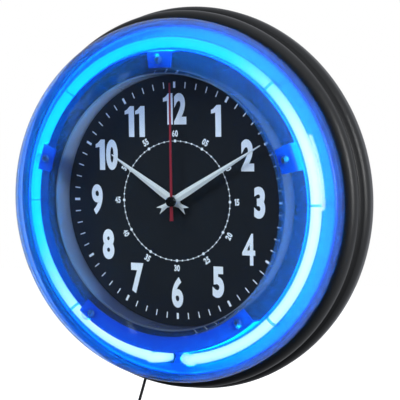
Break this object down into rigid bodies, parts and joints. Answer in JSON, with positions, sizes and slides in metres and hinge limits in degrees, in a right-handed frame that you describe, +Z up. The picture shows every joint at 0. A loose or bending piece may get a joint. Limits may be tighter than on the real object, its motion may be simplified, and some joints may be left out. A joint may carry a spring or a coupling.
{
  "type": "neon wall clock",
  "caption": "Round wall clock with a ribbed black case, a clear ring lens over a blue neon tube, a black numeral dial and quartz hands.",
  "frame": {"origin": "seat of the hanging slot, on the plane that lies against the wall", "axes": "+Z up, +X to the right as seen from the front, +Y into the wall; the dial faces -Y"},
  "size_m": [0.381, 0.091, 0.5428],
  "materials": {
    "case_black_abs": "satin moulded ABS",
    "adapter_black_abs": "fine spark-eroded ABS",
    "lens_clear_acrylic": "polished clear acrylic",
    "clip_clear": "clear polycarbonate",
    "dial_glass": "polished float glass",
    "ring_clear_acrylic": "moulded clear acrylic",
    "reflector_blue": "glossy vacuum-formed blue styrene",
    "neon_blue_glass": "lit blue neon tube",
    "black_rubber": "matt black rubber",
    "dial_black_print": "satin black printed card",
    "hardboard": "pressed hardboard",
    "plated_steel": "zinc plated steel",
    "brass": "turned brass",
    "acetal_white": "natural acetal",
    "copper_winding": "enamelled copper wire",
    "ferrite_magnet": "moulded magnet",
    "circuit_board_green": "solder resist on glass board",
    "battery_sleeve": "printed sleeve, plain",
    "hand_silver": "brushed aluminium with a bevelled ridge",
    "hand_red": "dark red enamel with a black cap",
    "lead_silicone_red": "silicone rubber sleeve",
    "lead_black_pvc": "soft black PVC"
  },
  "bodies": {
    "root": {"rear_case": "case_black_abs", "back_cover": "case_black_abs", "cover_screw_1": "plated_steel", "cover_screw_2": "plated_steel", "cover_screw_3": "plated_steel", "hanger_plate": "plated_steel", "front_lens": "lens_clear_acrylic", "lens_screw_1": "plated_steel", "lens_screw_2": "plated_steel", "lens_screw_3": "plated_steel", "lens_screw_4": "plated_steel", "lens_screw_5": "plated_steel", "dial_glass": "dial_glass", "dial_ring": "ring_clear_acrylic", "reflector_ring": "reflector_blue", "neon_tube": "neon_blue_glass", "electrode_boot_left": "black_rubber", "electrode_boot_right": "black_rubber", "tube_clip_1": "clip_clear", "tube_clip_2": "clip_clear", "tube_clip_3": "clip_clear", "tube_clip_4": "clip_clear", "tube_clip_5": "clip_clear", "tube_clip_6": "clip_clear", "dial_plate": "dial_black_print", "mounting_panel": "hardboard", "washer": "black_rubber", "fixing_nut": "brass", "movement_case": "case_black_abs", "movement_cover": "case_black_abs", "train_plate": "acetal_white", "stator": "plated_steel", "motor_coil": "copper_winding", "circuit_board": "circuit_board_green", "battery": "battery_sleeve", "contact_positive": "plated_steel", "contact_negative": "plated_steel", "tube_driver": "case_black_abs", "ht_lead_left": "lead_silicone_red", "ht_lead_right": "lead_silicone_red", "strain_relief": "lead_black_pvc", "inner_lead": "lead_black_pvc", "cord": "lead_black_pvc", "cord_coil": "lead_black_pvc", "cord_tail": "lead_black_pvc", "power_adapter": "adapter_black_abs", "adapter_blade_left": "plated_steel", "adapter_blade_right": "plated_steel"},
    "minute": {"minute_hand": "hand_silver", "minute_arbor": "brass"},
    "hour": {"hour_hand": "hand_silver", "hour_wheel": "acetal_white"},
    "motion": {"motion_wheel": "acetal_white"},
    "setting": {"setting_knob": "acetal_white"},
    "seconds": {"second_hand": "hand_red", "second_wheel": "acetal_white"},
    "third": {"third_wheel": "acetal_white"},
    "centre": {"centre_wheel": "brass"},
    "intermediate": {"intermediate_wheel": "acetal_white"},
    "rotor": {"rotor": "ferrite_magnet"}
  },
  "joints": [
    {"name": "minute_turn", "type": "hinge", "parent": "root", "child": "minute", "pos_m": [0, -0.0453, -0.12], "axis": [0, 1, 0], "continuous": true},
    {"name": "hour_turn", "type": "hinge", "parent": "root", "child": "hour", "pos_m": [0, -0.0453, -0.12], "axis": [0, 1, 0], "continuous": true},
    {"name": "motion_turn", "type": "hinge", "parent": "root", "child": "motion", "pos_m": [0.009, -0.039, -0.12], "axis": [0, 1, 0], "continuous": true},
    {"name": "setting_turn", "type": "hinge", "parent": "root", "child": "setting", "pos_m": [0.01912, -0.03, -0.12], "axis": [0, 1, 0], "continuous": true},
    {"name": "seconds_turn", "type": "hinge", "parent": "root", "child": "seconds", "pos_m": [0, -0.0453, -0.12], "axis": [0, 1, 0], "continuous": true},
    {"name": "third_turn", "type": "hinge", "parent": "root", "child": "third", "pos_m": [-0.0081, -0.033, -0.12], "axis": [0, 1, 0], "continuous": true},
    {"name": "centre_turn", "type": "hinge", "parent": "root", "child": "centre", "pos_m": [0, -0.0353, -0.12], "axis": [0, 1, 0], "continuous": true},
    {"name": "intermediate_turn", "type": "hinge", "parent": "root", "child": "intermediate", "pos_m": [0, -0.03, -0.11172], "axis": [0, 1, 0], "continuous": true},
    {"name": "rotor_turn", "type": "hinge", "parent": "root", "child": "rotor", "pos_m": [0, -0.031, -0.10584], "axis": [0, 1, 0], "continuous": true}
  ],
  "couplings": [
    {"joint": "hour_turn", "follows": "minute_turn", "ratio": 0.083333},
    {"joint": "motion_turn", "follows": "minute_turn", "ratio": -0.33333},
    {"joint": "setting_turn", "follows": "minute_turn", "ratio": 0.66667},
    {"joint": "third_turn", "follows": "seconds_turn", "ratio": -0.13333},
    {"joint": "centre_turn", "follows": "seconds_turn", "ratio": 0.016667},
    {"joint": "intermediate_turn", "follows": "seconds_turn", "ratio": -5},
    {"joint": "rotor_turn", "follows": "seconds_turn", "ratio": 30}
  ]
}
